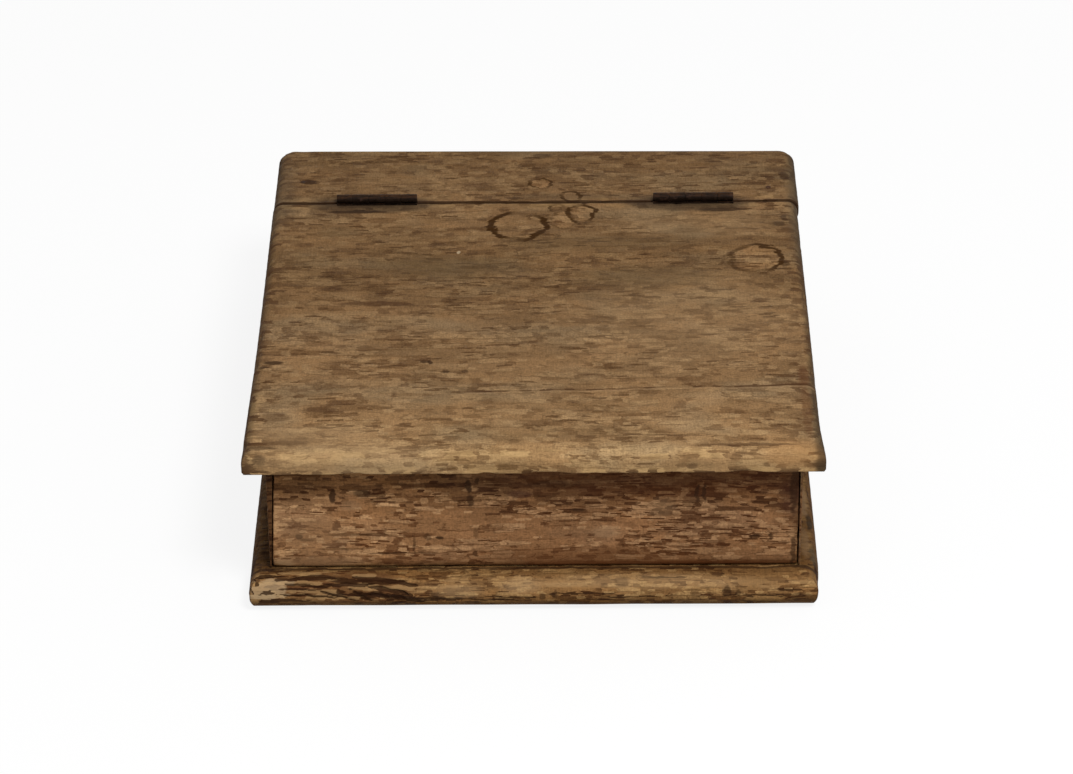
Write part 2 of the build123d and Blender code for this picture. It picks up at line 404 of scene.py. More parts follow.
# Splits in the front nose: x and girth at the start and at the end, width and depth. Girth
# runs round the nose from where the flat top ends, downwards.
SPLITS = (
    ((-165, 4.5), (-147, 1.6), 1.0, 0.8), ((-145, 3.8), (-124, 1.0), 1.1, 0.9),
    ((-146, 7.2), (-122, 10.5), 1.3, 1.0), ((-130, 1.7), (-109, 4.4), 1.9, 1.2),
    ((-121, 8.5), (-96, 8.0), 1.7, 1.2), ((-106, 3.0), (-70, 8.5), 2.0, 1.4),
    ((-96, 10.0), (-75, 14.0), 2.2, 1.5), ((-97, 15.0), (-66, 20.0), 2.4, 1.5),
    ((-149, 14.6), (-117, 17.5), 1.3, 1.0), ((-126, 12.5), (-106, 19.0), 1.4, 1.1),
    ((-108, 11.0), (-96, 19.5), 1.6, 1.2), ((-68, 18.4), (-8, 19.6), 1.0, 0.7),
    ((96, 18.0), (166, 17.0), 0.9, 0.6), ((138, 1.5), (160, 3.8), 0.8, 0.6),
    ((20, 19.0), (60, 20.0), 0.8, 0.5), ((-40, -2.0), (-12, -2.6), 0.6, 0.4),
)
BASE_DENTS = (
    ((112, -177, 13), (2.2, 3, 2.6), 0.8), ((118, -177, 12.5), (1.4, 3, 2), 0.6),
    ((4.5, -177, 10), (2, 3, 1.6), 0.6), ((166, -170, 8), (4, 5, 5), 0.8),
)


def girth(points):
    """Millimetres round the front nose from the end of the flat top."""
    over = base_low[1] + BASE_NOSE - points[:, 1]
    drop = base_high[2] - BASE_NOSE - points[:, 2]
    upper = BASE_NOSE * np.arctan2(np.maximum(over, 0), np.maximum(-drop, 0.01))
    quarter = BASE_NOSE * math.pi / 2
    return np.where(over < 0, -np.abs(over), np.where(drop > 0, quarter + drop, upper))


def splits(points):
    """How deep each point lies in a split."""
    bend = 0.9 * noise(points, (9, 60, 60), 31) + 0.5 * noise(points, (3.5, 60, 60), 32)
    place = np.stack([points[:, 0], girth(points) + bend], axis=1)
    front = 1 - ramp(points[:, 1], base_low[1] + 13, base_low[1] + 15)
    ragged = 1 + 0.45 * noise(points, (5, 3, 3), 33)
    depth = np.zeros(len(points))
    for start, end, width, deep in SPLITS:
        start, end = np.array(start, float), np.array(end, float)
        run = end - start
        share = np.clip(((place - start) @ run) / (run @ run), 0, 1)
        away = np.linalg.norm(place - start - share[:, None] * run, axis=1)
        taper = 0.35 + 0.65 * np.sqrt(np.sin(math.pi * np.clip(share, 0.02, 0.98)))
        reach = width * taper * ragged
        depth = np.maximum(depth, deep * (1 - ramp(away, 0.45 * reach, reach)))
    return depth * front


def base_field(points):
    """The base board's outside, nosed all round, shorter at its right end."""
    worn = points.copy()
    short = 0.7 + 1.2 * ramp(-points[:, 1], 150, 176)
    worn[:, 0] *= 1 + np.where(points[:, 0] > 0, short, 0) / base_high[0]
    return slab(worn, base_low, base_high, BASE_NOSE, BASE_NOSE, BASE_CORNER)


def base_wear(points):
    """How deep the base board is worn, split and cut for its screws."""
    sizes = (110, 90, 40), (30, 3.0, 3.0), (12, 8, 5)
    worn = weathering(points, (base_low, base_high), 34, *sizes, 0.25, 0.8)
    heads = wells(points, screw_heads, 2, SCREW_WELL, SCREW_WELL_DEPTH)
    return worn + dents(points, BASE_DENTS) + splits(points) + heads


def make_base():
    """The nosed base board."""
    grid = box_lines(base_low, base_high, (2.4, 12.0, 0.9), (3.6, 18.0, 0.8), (0.9, 3.0, 0.8))
    over_heads(grid, screw_heads, (0, 1), *SCREW_LINES)
    names = "base_plank", "box", "base_board", "base_oak"
    return board(names, grid, base_field, base_wear, 11.0, crack=splits)


# --- the box's upright boards
SIDE_EASE = 1.2  # the side boards' upright outer edges
PANEL_EASE = 1.7  # edges of the front and back boards, seen from above
PANEL_FOOT = 2.4  # their bottom edges
LEFT_LEAN, RIGHT_LEAN = (-2.1, 1.8), (2.0, 1.4)  # of the front joints, at their foot and head


def lean(points, weight):
    """Leans the front joints: the front board widens towards its foot."""
    x, y, z = points.T
    share = (z - end_low[2]) / (end_high[2] - end_low[2])
    foot = np.where(x < 0, LEFT_LEAN[0], RIGHT_LEAN[0])
    head = np.where(x < 0, LEFT_LEAN[1], RIGHT_LEAN[1])
    shift = (foot + (head - foot) * share) * weight * (y < end_high[1] + 0.3)
    return points + np.stack((shift, 0 * shift, 0 * shift), 1)


def make_end(name, node, seed):
    """The front or back board."""
    low, high = box = corners(node)

    def wear(points):
        sizes = (120, 60, 50), (30, 3.0, 2.4), (10, 5, 5)
        return weathering(points, box, seed, *sizes, 0.25, 0.5)

    def weigh(points):
        return ramp(np.abs(points[:, 0]), 138.0, 151.0)

    grid = box_lines(low, high, (3.0, 3.0, 0.5), (3.0, 2.0, 0.5), (1.2, 3.0, 0.5))
    field = slab_field(low, high, 0.6, PANEL_FOOT, PANEL_EASE)
    return board((name, "box", node, "body_oak"), grid, field, wear, 5.0, weigh=weigh)


def make_side(name, node, sign, seed):
    """A side board, rebated at both ends for the front and back boards."""
    low, high = box = corners(node)
    outside = low[0] if sign < 0 else high[0]
    lip = outside - sign * (abs(outside) - end_high[0] - 0.4)
    rebate = end_high[1] - end_low[1]
    front, back = low[1] + rebate, high[1] - rebate
    heads = head_centres("front_nails", 0) + head_centres("back_nails", 0)
    heads = [head for head in heads if head[0] * sign > 0]

    def solid(x, y, z):
        return ~(((x - lip) * sign < 0) & ((y < front) | (y > back)))

    def wear(points):
        sizes = (50, 120, 50), (3.0, 30, 2.4), (5, 10, 5)
        worn = weathering(points, box, seed, *sizes, 0.2, 0.6)
        return worn + wells(points, heads, 0, NAIL_WELL, 0.12)

    def weigh(points):
        return np.clip((abs(outside) - np.abs(points[:, 0])) / abs(outside - lip), 0, 1)

    x, y, z = box_lines(low, high, (3.0, 1.8, 0.45), (3.6, 3.0, 0.5), (1.3, 3.0, 0.5))
    grid = [with_lines(x, [lip], 0.3), with_lines(y, [front, back], 0.3), z]
    over_heads(grid, heads, (1, 2), *NAIL_LINES)
    field = slab_field(low, high, 0.5, 0.8, SIDE_EASE)
    return board((name, "box", node, "body_oak"), grid, field, wear, 5.0, solid, weigh)


# --- hinges
KNUCKLE_COUNT = 5
KNUCKLE_GAP = 0.2
STRIP = 1.15  # thickness of the leaf where it is rolled round the pin
PLATE = 1.4  # thickness of its flat
PLATE_SET = 0.15  # from the joint's middle to the flat
SCREW_DISH, DISH_LINES = 2.5, (2.8, 0.4)  # round a leaf's screw heads
CURL_START, CURL_END = 215.0, -75.0  # the roll's two ends, in degrees about the pin


def leaf_plate(low, high, screws, seed):
    """The flat of a leaf, pitted and dented in round its screw heads."""
    grid = [
        lines(low[0], high[0], 1.2, 1.2, 0.4),
        np.linspace(low[1], high[1], 4),
        lines(low[2], high[2], 0.8, 1.2, 0.4),
    ]
    over_heads(grid, screws, (0, 2), *DISH_LINES)
    points, quads = shell(grid, everywhere)

    def wear(points):
        pits = waves(points, (2.2, 2.2, 2.2), seed, 0.1)
        return pits + wells(points, screws, 1, SCREW_DISH, 0.12)

    field = slab_field(low, high, 0.3, 0.3, 0.3)
    return sculpt(points, (low, high), field, wear), quads


def knuckle_section(facing, plate_y, plate_top):
    """The middle line of a knuckle's strip, and half its thickness beside each point."""
    middle = pin_radius + 0.1 + STRIP / 2
    angles = np.radians(np.linspace(CURL_START, CURL_END, 27))
    around = [joint_y - facing * middle * np.cos(angles), pin_z + middle * np.sin(angles)]
    line = np.concatenate([[[plate_y, plate_top]], np.stack(around, axis=1)])
    along = np.gradient(line, axis=0)
    along /= np.linalg.norm(along, axis=1)[:, None]
    return line, np.stack([along[:, 1], -along[:, 0]], axis=1) * STRIP / 2


def knuckle(start, end, facing, plate_y, plate_top, seed):
    """A knuckle: the leaf's strip rolled round the pin."""
    line, aside = knuckle_section(facing, plate_y, plate_top)
    stations = lines(start, end, 0.9, 0.5, 0.25)
    rows = []
    for x in stations:
        thin = 1 - 0.16 * (1 - ramp(min(x - start, end - x), 0.0, 0.5))
        section = np.concatenate([line + aside * thin, (line - aside * thin)[::-1]])
        rows.append(np.column_stack([np.full(len(section), x), section]))
    points = np.concatenate(rows)
    out = points[:, 1:] - np.array([joint_y, pin_z])
    out /= np.linalg.norm(out, axis=1)[:, None]
    points[:, 1:] -= out * waves(points, (1.6, 1.6, 1.6), seed, 0.12)[:, None]
    count, last = 2 * len(line), len(stations) - 1
    ring = np.arange(count)
    following = (ring + 1) % count
    band = np.stack([ring, following, following + count, ring + count], axis=1)
    half = np.arange(len(line) - 1)
    cap = np.stack([half, count - 1 - half, count - 2 - half, half + 1], axis=1)
    quads = [band + row * count for row in range(last)]
    quads = np.concatenate(quads + [cap[:, ::-1], cap + last * count])
    return points, quads[:, ::-1] if facing > 0 else quads


def joined(parts):
    """Several meshes' points and quads as one."""
    offsets = np.cumsum([0] + [len(points) for points, _ in parts])
    quads = [quads + offset for (_, quads), offset in zip(parts, offsets)]
    return np.concatenate([points for points, _ in parts]), np.concatenate(quads)


def leaf_screw_centres(node):
    """Centres of the screws in a leaf, seen along Y."""
    points = node_points(node)
    points = points[np.argsort(points[:, 0])]
    groups = np.split(points, np.nonzero(np.diff(points[:, 0]) > 3.0)[0] + 1)
    return [(group.min(axis=0) + group.max(axis=0)) / 2 for group in groups]


def make_leaf(side, sign, kind, seed):
    """One leaf of a hinge: kind is rail, with knuckles 0, 2 and 4, or lid, with 1 and 3."""
    node = f"{side}_{kind}_leaf"
    facing, first, body = (1, 0, "box") if kind == "rail" else (-1, 1, "lid")
    near = joint_y + facing * PLATE_SET
    faces = sorted((near, near + facing * PLATE))
    left, top_z = sign * hinge_x - hinge_half, lid_high[2]
    low = np.array([left, faces[0], corners(node)[0][2]])
    high = np.array([sign * hinge_x + hinge_half, faces[1], top_z])
    screws = [np.array([x, near, z]) for x, _, z in leaf_screw_centres(node + "_screws")]
    parts = [leaf_plate(low, high, screws, seed)]
    pitch = 2 * hinge_half / KNUCKLE_COUNT
    for number in range(first, KNUCKLE_COUNT, 2):
        start = left + number * pitch
        ends = start + KNUCKLE_GAP / 2, start + pitch - KNUCKLE_GAP / 2
        parts.append(knuckle(*ends, facing, sum(faces) / 2, top_z - 0.4, seed + number))
    return dress(make_mesh(node + "_iron", *joined(parts)), body, node)


# --- nodes
WHITE = (1.0, 1.0, 1.0, 1.0)


def srgb(red, green, blue):
    """A display colour (0 to 255) as the linear one a shader takes."""
    linear = []
    for value in (red, green, blue):
        part = value / 255
        linear.append(part / 12.92 if part <= 0.04045 else ((part + 0.055) / 1.055) ** 2.4)
    return (*linear, 1.0)


class Value:
    """What a node puts out, for use in sums."""

    def __init__(self, mat, socket):
        self.mat, self.socket = mat, socket

    def sum(self, operation, *others, output=0):
        """A sum by its name, of numbers or of vectors."""
        kind = "Math" if self.socket.type == "VALUE" else "VectorMath"
        return self.mat.put(kind, (self, *others), output, operation=operation)

    __add__ = partialmethod(sum, "ADD")
    __sub__ = partialmethod(sum, "SUBTRACT")
    __mul__ = partialmethod(sum, "MULTIPLY")
    __abs__ = partialmethod(sum, "ABSOLUTE")
    length = partialmethod(sum, "LENGTH", output="Value")

    def split(self):
        """A vector's three parts."""
        return [Value(self.mat, part) for part in self.mat.node("SeparateXYZ", (self,)).outputs]

    def ramp(self, low, high, start=0.0, end=1.0):
        """start below low, end above high, smooth between."""
        values = (self, low, high, start, end)
        return self.mat.put("MapRange", values, interpolation_type="SMOOTHSTEP")


class Shader:
    """The nodes of a material or a world, and the material's colour so far."""

    def __init__(self, owner):
        owner.use_nodes = True
        self.owner, self.tree, self.seed, self.colour = owner, owner.node_tree, 0, None
        self.tree.nodes.clear()

    def feed(self, socket, value):
        """Links a value to a socket, or writes plain numbers in it."""
        if isinstance(value, Value):
            self.tree.links.new(value.socket, socket)
        else:
            socket.default_value = value

    def node(self, kind, values=(), **settings):
        """A new node with its settings and its first inputs."""
        node = self.tree.nodes.new("ShaderNode" + kind)
        for setting, value in settings.items():
            setattr(node, setting, value)
        for number, value in enumerate(values):
            self.feed(node.inputs[number], value)
        return node

    def put(self, kind, values=(), output=0, **settings):
        """One output of a new node."""
        return Value(self, self.node(kind, values, **settings).outputs[output])

    def place(self):
        """The place on the object, in millimetres."""
        return self.put("TexCoord", output="Object") * ((1 / MM,) * 3)

    def normal(self):
        """The three parts of the surface's direction."""
        return self.put("TexCoord", output="Normal").split()

    def mark(self, name):
        """A float attribute of the mesh."""
        return self.put("Attribute", output="Fac", attribute_name=name)

    def noise(self, place, size, detail=2.0, roughness=0.5, output="Fac"):
        """Noise about 0.5 with features of that size, shifted anew by each call."""
        self.seed += 1
        shift = (13.7 * self.seed, 7.3 * self.seed, 3.1 * self.seed)
        place = place.sum("MULTIPLY_ADD", tuple(1 / part for part in size), shift)
        node = self.node("TexNoise", (place,))
        for name, value in (("Scale", 1.0), ("Detail", detail), ("Roughness", roughness)):
            node.inputs[name].default_value = value
        return Value(self, node.outputs[output])

    def dabs(self, along, across, size, wobble):
        """Blunt-ended dabs in uneven rows: a random value for each, and the shares of the
        way across and along it. wobble is the waver of their ends and sides."""
        self.seed += 1
        length, breadth = size
        rows = across * (1 / breadth) + wobble[1]
        row = rows.sum("FLOOR") + 17.0 * self.seed
        start = self.put("TexWhiteNoise", ((0, 0, 0), row), noise_dimensions="1D")
        columns = along * (1 / length) + (start * 9.0 + wobble[0])
        cell = self.put("CombineXYZ", (columns.sum("FLOOR"), row))
        value = self.put("TexWhiteNoise", (cell,), noise_dimensions="2D")
        return value, rows.sum("FRACT"), columns.sum("FRACT")

    def mix(self, factor, first, second, blend="MIX"):
        """Two colours mixed by a factor."""
        node = self.node("Mix", data_type="RGBA", blend_type=blend)
        for number, value in ((0, factor), (6, first), (7, second)):
            self.feed(node.inputs[number], value)
        return Value(self, node.outputs[2])

    def shade(self, level):
        """Makes the colour lighter or darker."""
        self.colour = self.mix(1.0, self.colour, level, "MULTIPLY")

    def tint(self, factor, colour):
        """Lays another colour over it."""
        self.colour = self.mix(factor, self.colour, colour)

    def profile(self, value, stops):
        """A level that follows stops of (value, level), redder where it is below 1."""
        low, high = stops[0][0], stops[-1][0]
        node = self.node("ValToRGB", (self.put("MapRange", (value, low, high)),))
        points = node.color_ramp.elements
        while len(points) < len(stops):
            points.new(0.5)
        for point, (at, level) in zip(points, stops):
            point.position = (at - low) / (high - low)
            warmth = level ** 0.22 if level < 1.0 else 1.0
            point.color = (level ** 0.9, level, level * warmth, 1.0)
        return Value(self, node.outputs[0])

    def background_rays(self):
        """1 where the background shows: to the camera, in gloss or through glass."""
        rays = self.node("LightPath").outputs
        camera, gloss, glass = (
            Value(self, rays[f"Is {kind} Ray"]) for kind in ("Camera", "Glossy", "Transmission")
        )
        return camera.sum("MAXIMUM", gloss).sum("MAXIMUM", glass)

    def finish(self, roughness, height, bump, metallic=0.0, specular=0.08):
        """The surface. bump is the height's full scale in millimetres."""
        rise, surface = self.node("Bump"), self.node("BsdfPrincipled")
        for node, socket, value in (
            (rise, "Distance", bump * MM), (rise, "Strength", 1.0), (rise, "Height", height),
            (surface, "Base Color", self.colour), (surface, "Roughness", roughness),
            (surface, "Normal", Value(self, rise.outputs[0])),
            (surface, "Metallic", metallic), (surface, "Specular IOR Level", specular),
        ):
            self.feed(node.inputs[socket], value)
        self.node("OutputMaterial", (Value(self, surface.outputs[0]),))
        return self.owner


# --- stage
CAMERA_PLACE, CAMERA_TURN, CAMERA_LENS = (0.0178, -1.9087, 1.3197), (-0.517, 33.851, -0.623), 124.25
FILL_LEVEL = 0.49  # strength of the even white sky
FLOOR_GLOW = 0.86  # share of plain white in the floor that the camera sees
FLOOR_HALF, FLOOR_DROP = 6.0, 0.0004
KEY_PLACE, KEY_AIM = (0.62, -1.15, 2.1), (0, 0, 0.06)
KEY_SIZE, KEY_POWER = 0.7, 39.0


def look_from(yaw, pitch, roll):
    """A camera's turn: yaw to the right, pitch down and roll, in degrees."""
    yaw, pitch, roll = (math.radians(angle) for angle in (yaw, pitch, roll))
    flat = math.cos(pitch)
    ahead = Vector((math.sin(yaw) * flat, math.cos(yaw) * flat, -math.sin(pitch)))
    level = Vector((math.cos(yaw), -math.sin(yaw), 0))
    upright = level.cross(ahead)
    across = math.cos(roll) * level + math.sin(roll) * upright
    above = math.cos(roll) * upright - math.sin(roll) * level
    return Matrix((across, above, -ahead)).transposed().to_4x4()


def make_camera():
    """The photograph's viewpoint."""
    camera = add("camera", bpy.data.cameras.new("camera"))
    camera.data.sensor_fit = "HORIZONTAL"
    camera.data.sensor_width = 36.0
    camera.data.lens = CAMERA_LENS
    camera.matrix_world = Matrix.Translation(CAMERA_PLACE) @ look_from(*CAMERA_TURN)
    bpy.context.scene.camera = camera


def make_lamp():
    """The key light, a soft square lamp."""
    lamp = add("key", bpy.data.lights.new("key", "AREA"))
    lamp.data.shape = "SQUARE"
    lamp.data.size = KEY_SIZE
    lamp.data.energy = KEY_POWER
    lamp.location = KEY_PLACE
    beam = Vector(KEY_AIM) - Vector(KEY_PLACE)
    lamp.rotation_euler = beam.to_track_quat("-Z", "Y").to_euler()


def make_world():
    """An even white sky, plain white as the background."""
    sky = Shader(bpy.data.worlds.new("studio"))
    fill, plain = (sky.put("Background", (WHITE, level)) for level in (FILL_LEVEL, 1.0))
    sky.node("OutputWorld", (sky.put("MixShader", (sky.background_rays(), fill, plain)),))
    bpy.context.scene.world = sky.owner


def make_floor():
    """A pale floor with the box's shadow, nearly white to the camera."""
    mesh = bpy.data.meshes.new("floor")
    ring = [(x * FLOOR_HALF, y * FLOOR_HALF, -FLOOR_DROP)
            for x, y in ((-1, -1), (1, -1), (1, 1), (-1, 1))]
    mesh.from_pydata(ring, [], [(0, 1, 2, 3)])
    floor = add("floor", mesh)
    mat = Shader(bpy.data.materials.new("floor_white"))
    matt, bright = (mat.put("BsdfDiffuse", ((level,) * 3 + (1.0,),)) for level in (0.58, 0.95))
    seen = mat.put("MixShader", (FLOOR_GLOW, bright, mat.put("Emission")))
    mat.node("OutputMaterial", (mat.put("MixShader", (mat.background_rays(), matt, seen)),))
    mesh.materials.append(mat.owner)


# --- stain spots, painted shade and painted highlights
BROWN, UMBER, RUSSET = srgb(46, 26, 11), srgb(72, 46, 25), srgb(88, 54, 30)
OLIVE, ORANGE, PLUM = srgb(88, 68, 43), srgb(172, 116, 60), srgb(66, 36, 24)
BLEACHED, IRON_STAIN = srgb(180, 148, 108), srgb(50, 39, 29)
RING_DARK, PANEL_SHADE = srgb(54, 31, 3), srgb(52, 25, 8)
TOP_Z, TOP = 110, 12  # with this height, a stain on the top stays off the underside
FRONT_Y = -163.5


def top(x, y, half_x, half_y, tint, strength, soft, z=TOP_Z, half_z=TOP):
    """A spot on the top."""
    return x, y, z, half_x, half_y, half_z, tint, strength, soft


def front(x, z, half_x, half_z, tint, strength, soft):
    """A spot on the front board."""
    return x, FRONT_Y, z, half_x, 3, half_z, tint, strength, soft


# Water rings: centre, radii, line width, strength, level inside, the direction in which the
# line is heaviest, and how heavy it is the other way.
TOP_RINGS = (
    ((-10.6, 76.6), (17.2, 15.6), 2.9, 1.0, 1.08, (1.0, -0.2, 0), 0.95),
    ((3.4, 128.7), (6.9, 5.8), 1.6, 0.85, 1.5, (0.9, 0.7, 0), 0.8),
    ((29.2, 90.5), (8.4, 11.5), 1.8, 0.95, 1.2, (1.0, 0.2, 0), 0.9),
    ((17.0, 83.0), (8.5, 9.5), 1.1, 0.5, 1.3, (0.5, 1.0, 0), 0.4),
    ((22.5, 112.0), (5.6, 6.0), 1.5, 0.85, 1.25, (0.6, 1.0, 0), 0.6),
    ((12.5, 99.0), (4.6, 4.6), 1.4, 0.8, 1.1, (-1.0, -0.6, 0), 0.2),
    ((137.0, 36.5), (16.0, 15.6), 2.2, 0.95, 1.34, (1.0, 0.35, 0), 0.0),
)
# Spots, in the order in which they are laid: place, half sizes, colour, strength, softness.
# The place is x and y on the top, x and z on the front board, x, y and z elsewhere.
LID_SPOTS = (
    (-64.5, -77.5, 3.2, 1.8, BROWN, 0.8, 0.25), (-61.5, -78.5, 1.4, 2, BROWN, 0.8, 0.25),
    (-52.5, -88, 2.6, 2, BROWN, 0.75, 0.3), (-40.5, -87.5, 2, 1.6, BROWN, 0.6, 0.3),
    (-155, -77.5, 6, 2.4, BROWN, 0.85, 0.25), (-160.5, -82, 3, 1.5, BROWN, 0.7, 0.25),
    (-142, -161, 13, 2.6, UMBER, 0.7, 0.3, 109), (-156, -166, 8, 2.4, BROWN, 0.6, 0.3, 109),
    (-157, -173, 4.2, 2.2, BROWN, 0.7, 0.3, 106, 4), (-124, -127.5, 11, 2.4, UMBER, 0.6, 0.3),
    (-150, -135, 9, 4.5, UMBER, 0.55, 0.35), (-98, -13.2, 21, 2.6, UMBER, 0.75, 0.3),
    (-143, 55, 6, 3, UMBER, 0.5, 0.4), (-147.7, 104, 5.5, 2.6, UMBER, 0.5, 0.4),
    (91, -174, 3.6, 4, UMBER, 0.7, 0.3, 101, 2), (133, -174, 2.6, 4, UMBER, 0.6, 0.3, 102, 1.8),
    (156.6, 85, 2.2, 3.6, BROWN, 0.7, 0.3),
    # The greyish browns at x = ±166, here and on the rail, darken the side faces and the right
    # front corner: painted shade.
    (166, -172, 4.6, 9, srgb(58, 44, 28), 0.8, 0.4, 103, 12),
    (166, -128, 5.5, 52, srgb(72, 58, 40), 0.6, 0.5, 108, 12),
    (152.5, 77.5, 3.6, 2.6, BROWN, 0.7, 0.3), (154.5, 30, 2.8, 4, BROWN, 0.6, 0.3),
    (-47, 45.6, 1.1, 1.5, srgb(184, 162, 130), 0.75, 0.2), (-57, 29, 38, 13, OLIVE, 0.55, 0.5),
    (40, 56, 52, 9, OLIVE, 0.45, 0.5), (66, 17, 40, 12, OLIVE, 0.45, 0.5),
    (-125, 70, 14, 7, OLIVE, 0.35, 0.5), (148, -172, 17, 10, ORANGE, 0.2, 0.5, 107, 7),
    (-115, 94.6, 17, 1.9, BROWN, 0.85, 0.25), (120, 95, 17, 1.8, BROWN, 0.85, 0.25),
    (92, -28, 62, 46, BLEACHED, 0.13, 0.5), (104, 78, 46, 16, BLEACHED, 0.14, 0.5),
    (10, -112, 60, 24, OLIVE, 0.14, 0.5), (-125, -152, 36, 9, BLEACHED, 0.22, 0.5),
    (0, -152, 60, 9, OLIVE, 0.22, 0.6), (-108, -172, 50, 11, BLEACHED, 0.3, 0.5, 106),
    (112, -172, 50, 11, BLEACHED, 0.1, 0.5, 106), (158.5, -132, 3, 27, RUSSET, 0.5, 0.4),
    (158.5, -95, 3.2, 12, RUSSET, 0.6, 0.4), (123, -45, 7, 2.4, UMBER, 0.6, 0.3),
    (137, -12, 5, 2.2, UMBER, 0.55, 0.3), (122, -165, 32, 1.1, UMBER, 0.65, 0.3),
    (80, -155, 24, 0.9, UMBER, 0.45, 0.3),
)
RAIL_SPOTS = (
    # The greyish browns at x = ±166 darken the rail's side faces: painted shade.
    (-166, 118, 13, 46, srgb(84, 68, 50), 0.5, 0.5), (166, 96, 7, 70, srgb(86, 74, 56), 0.4, 0.5),
    (-144.5, 131.8, 5.6, 2.8, BROWN, 0.85, 0.3), (-149, 126, 3.4, 2, UMBER, 0.6, 0.4),
    (4.6, 163.5, 6, 3.2, BROWN, 0.6, 0.35), (-35.5, 126.5, 9, 5.5, UMBER, 0.35, 0.4),
    (19, 112, 44, 4, IRON_STAIN, 0.4, 0.6), (159.3, 135.5, 3, 5.5, BROWN, 0.7, 0.3),
    (147.6, 119.5, 5, 3.5, UMBER, 0.55, 0.4),
)
# The dark stain round each hinge: shift from its middle, half sizes, strength, softness.
HINGE_STAINS = ((-3, -1.5, 40, 10.5, 0.64, 0.22), (-4, -1, 30, 5.5, 0.5, 0.4))
FRONT_SPOTS = (
    # The first two spots darken the foot and the band under the lid: painted shade, partly grime.
    (72, 23.6, 90, 2.8, srgb(84, 44, 16), 0.75, 0.4), (72, 86, 98, 15, srgb(84, 44, 20), 0.4, 0.3),
    (-117, 74, 1.8, 5.2, BROWN, 0.85, 0.25), (-100, 75.5, 5, 2.8, BROWN, 0.7, 0.3),
    (-138, 44.6, 2, 1.9, BROWN, 0.7, 0.25), (-133, 42, 4.2, 1.2, UMBER, 0.6, 0.25),
    (-70.4, 39, 0.9, 6.5, BROWN, 0.55, 0.3), (-37.8, 80, 1.7, 5, BROWN, 0.85, 0.25),
    (-37, 70, 2, 4.2, BROWN, 0.75, 0.25), (-33, 84, 1.3, 2.4, BROWN, 0.7, 0.25),
    (-55, 43.4, 2.4, 1.6, BROWN, 0.85, 0.25), (-62, 44.2, 2.2, 2.8, BROWN, 0.5, 0.3),
    (-34.5, 31.5, 1.4, 2.2, BROWN, 0.8, 0.25), (-34, 47, 1.6, 3.6, BROWN, 0.45, 0.3),
    (94.6, 74.6, 1.2, 6.4, BROWN, 0.7, 0.25), (98.8, 74.6, 1.2, 6.4, BROWN, 0.7, 0.25),
    (128.5, 43, 3, 1.8, BROWN, 0.75, 0.25), (138, 43.5, 1.2, 2.2, BROWN, 0.7, 0.25),
    (149, 72, 7, 13, PLUM, 0.6, 0.5), (-8, 74, 7, 2.6, PLUM, 0.7, 0.3),
    (9, 81, 14, 3, BROWN, 0.4, 0.4), (26, 63, 4, 1.8, BROWN, 0.6, 0.3),
    (-147, 26, 6.5, 1.8, BLEACHED, 0.55, 0.4), (74, 64, 8, 7, srgb(134, 104, 74), 0.4, 0.5),
    (41, 47, 7.5, 4, srgb(150, 118, 86), 0.5, 0.4),
    (-106.5, 66.5, 6, 3.6, srgb(134, 102, 72), 0.5, 0.4),
    (20, 29, 70, 5.5, srgb(96, 58, 30), 0.5, 0.6), (-128, 27, 27, 3.4, srgb(130, 98, 68), 0.6, 0.4),
    (-128, 44, 22, 15, srgb(128, 98, 70), 0.35, 0.4), (150.4, 80, 2.4, 22, BROWN, 0.7, 0.3),
    (151, 32, 1.5, 11, BROWN, 0.7, 0.3), (-73, 27, 24, 3, RUSSET, 0.35, 0.2),
    (-103, 46, 20, 1.1, UMBER, 0.6, 0.25), (-112, 36, 16, 0.8, UMBER, 0.5, 0.25),
    (-78, 32.5, 20, 0.9, BROWN, 0.55, 0.25),
)
SIDE_SPOTS = (
    (153.6, FRONT_Y, 66, 1.2, 8, 2.8, BROWN, 0.6, 0.3),
    # The pale spots on the right lip stand for a highlight along its edge: painted highlight.
    (153.4, FRONT_Y, 84, 1.4, 8, 9, BLEACHED, 0.3, 0.4),
    (153.6, FRONT_Y, 40, 1.5, 8, 7, BLEACHED, 0.25, 0.4),
)
BASE_SPOTS = (
    (112, -177, 13.5, 2.4, 5, 4, BROWN, 0.75, 0.25),
    (118.5, -177, 13, 1.6, 5, 2.4, BROWN, 0.6, 0.25),
    (4.4, -177, 11, 1.9, 5, 2.4, BROWN, 0.6, 0.25),
    (11.4, -177, 12.5, 1.6, 5, 2.4, BROWN, 0.6, 0.25),
    (50.4, -174, 19, 4.2, 6, 2.4, UMBER, 0.6, 0.3), (158, -175, 9, 12, 6, 3.6, BROWN, 0.55, 0.4),
    (-8, -175, 17, 12, 6, 4, BLEACHED, 0.35, 0.5), (60, -174, 19, 60, 6, 3, BLEACHED, 0.2, 0.5),
    (-45, -175, 14, 14, 6, 4, BLEACHED, 0.3, 0.5),
    # The dark spot at the right end stands for a shadowed hole: painted shade.
    (163.6, -117, 20.5, 2, 8.5, 6, srgb(40, 28, 15), 0.8, 0.3),
    (160, -97, 22, 3.6, 16, 6, srgb(130, 104, 76), 0.55, 0.4),
    (159.5, -140, 22, 2.6, 14, 6, srgb(126, 98, 68), 0.55, 0.4),
    (164, -150, 20.5, 2.4, 8, 6, srgb(84, 72, 52), 0.5, 0.4),
)
